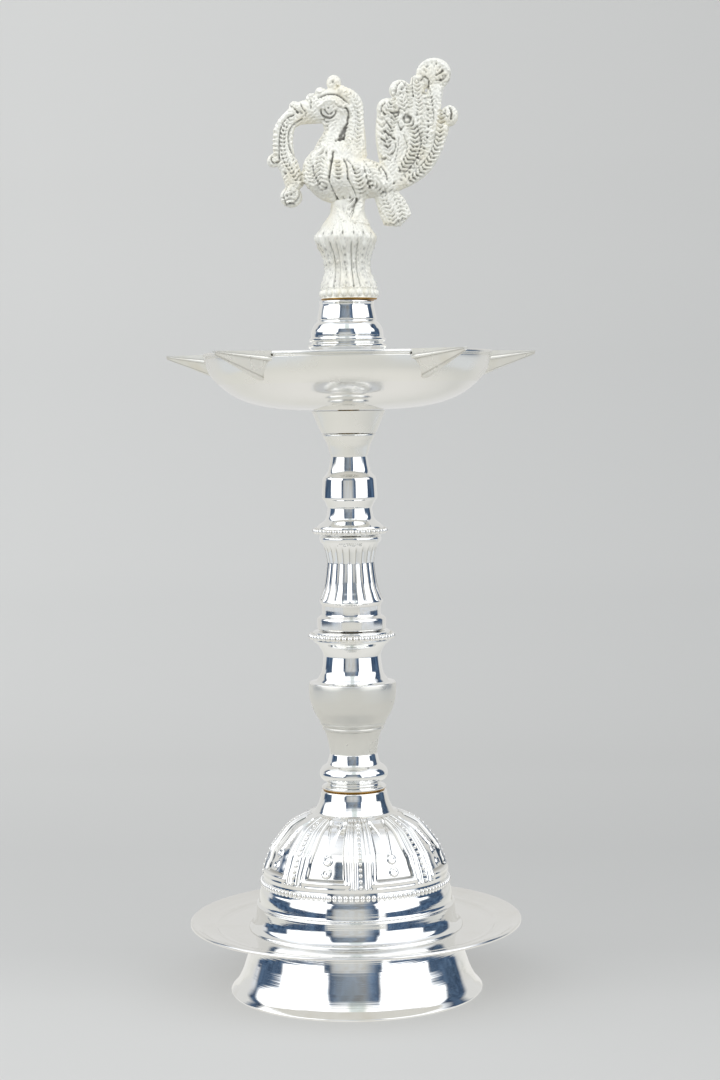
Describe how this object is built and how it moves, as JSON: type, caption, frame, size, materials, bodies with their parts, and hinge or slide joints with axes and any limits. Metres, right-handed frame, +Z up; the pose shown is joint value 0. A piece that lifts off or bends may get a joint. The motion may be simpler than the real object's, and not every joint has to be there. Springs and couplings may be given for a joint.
{
  "type": "standing oil lamp",
  "caption": "Standing oil lamp: flared foot, drip plate, panelled dome, turned stem, open bowl with wick spouts and a peacock finial; the stem parts screw together.",
  "frame": {"origin": "on the floor, under the centre of the lamp's bounding box; the lamp's own turning axis stands 5.2 mm from it towards -Y, because one spout points straight back", "axes": "+Z up along the lamp's axis, -Y the front between two spouts, +Y the spout that points straight back, -X the side that the peacock faces"},
  "size_m": [0.1238, 0.1192, 0.3046],
  "materials": {
    "polished_silver": "silver plated, mirror polished",
    "satin_silver": "silver plated, satin",
    "cast_silver": "silver plated casting, frosty white",
    "bare_brass": "bare brass, machined"
  },
  "bodies": {
    "base": {"foot_skirt": "polished_silver", "drip_plate": "satin_silver", "dome_shell": "polished_silver", "base_stud": "bare_brass", "base_cup_washer": "bare_brass", "base_hex_nut": "bare_brass"},
    "lower_stem": {"bulb_stem": "satin_silver", "lower_bead_ring": "cast_silver", "lower_stud": "bare_brass"},
    "upper_stem": {"fluted_stem": "polished_silver", "middle_stud": "bare_brass", "ring_stem": "polished_silver", "upper_bead_ring": "cast_silver"},
    "bowl": {"bowl_socket": "satin_silver", "oil_bowl": "satin_silver", "wick_spout_1": "satin_silver", "wick_spout_2": "satin_silver", "wick_spout_3": "satin_silver", "wick_spout_4": "satin_silver", "wick_spout_5": "satin_silver", "neck_sleeve": "polished_silver", "bowl_stud": "bare_brass", "finial_stud": "bare_brass"},
    "finial": {"peacock_finial": "cast_silver"}
  },
  "joints": [
    {"name": "base_to_stem_screw", "type": "hinge", "parent": "base", "child": "lower_stem", "pos_m": [0, -0.0052, 0.06675], "axis": [0, 0, 1], "range_deg": [0, 330]},
    {"name": "stem_screw", "type": "hinge", "parent": "lower_stem", "child": "upper_stem", "pos_m": [0, -0.0052, 0.1195], "axis": [0, 0, 1], "range_deg": [0, 330]},
    {"name": "bowl_screw", "type": "hinge", "parent": "upper_stem", "child": "bowl", "pos_m": [0, -0.0052, 0.18405], "axis": [0, 0, 1], "range_deg": [0, 330]},
    {"name": "finial_screw", "type": "hinge", "parent": "bowl", "child": "finial", "pos_m": [0, -0.0052, 0.2272], "axis": [0, 0, 1], "range_deg": [0, 330]}
  ]
}
